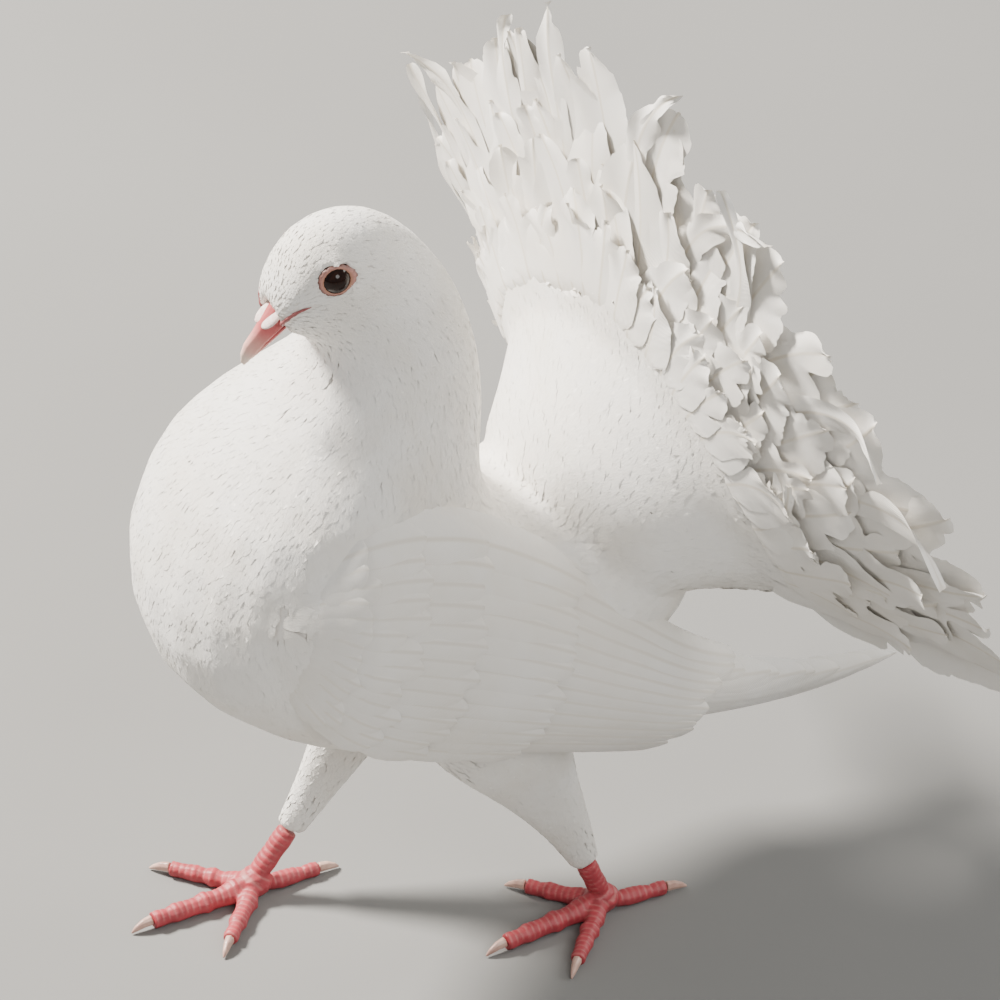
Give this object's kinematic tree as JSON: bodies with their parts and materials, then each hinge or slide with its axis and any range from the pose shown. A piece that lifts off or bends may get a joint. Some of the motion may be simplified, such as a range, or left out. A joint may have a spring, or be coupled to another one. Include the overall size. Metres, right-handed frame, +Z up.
{
  "type": "fantail pigeon model",
  "caption": "White fantail pigeon, walking, with puffed breast, folded wings and a wide upright fan of tail feathers.",
  "frame": {"origin": "on the floor, at the middle of the whole bird's box seen from above", "axes": "-Y is the way the bird faces, +X its left side, +Z up"},
  "size_m": [0.2544, 0.2212, 0.2673],
  "materials": {
    "plumage": "soft matt white body feathers, faintly cream",
    "flight_feathers": "satin white wing and tail feathers",
    "bill": "semi-gloss rosy pink horn, paler at the tip",
    "cere": "powdery white skin at the root of the bill",
    "eye": "wet gloss, very dark brown",
    "red_skin": "scaly red-pink skin of the legs and toes",
    "claw": "pale pinkish horn"
  },
  "bodies": {
    "root": {"bill_lower": "bill", "bill_upper": "bill", "cere": "cere", "claw_left_hind": "claw", "claw_left_inner": "claw", "claw_left_middle": "claw", "claw_left_outer": "claw", "claw_right_hind": "claw", "claw_right_inner": "claw", "claw_right_middle": "claw", "claw_right_outer": "claw", "eye_left": "eye", "eye_right": "eye", "foot_left": "red_skin", "foot_right": "red_skin", "head": "plumage", "leg_left": "plumage", "leg_right": "plumage", "neck": "plumage", "rump": "plumage", "tail_left": "flight_feathers", "tail_middle": "flight_feathers", "tail_right": "flight_feathers", "torso": "plumage", "wing_left": "flight_feathers", "wing_right": "flight_feathers"}
  },
  "joints": []
}
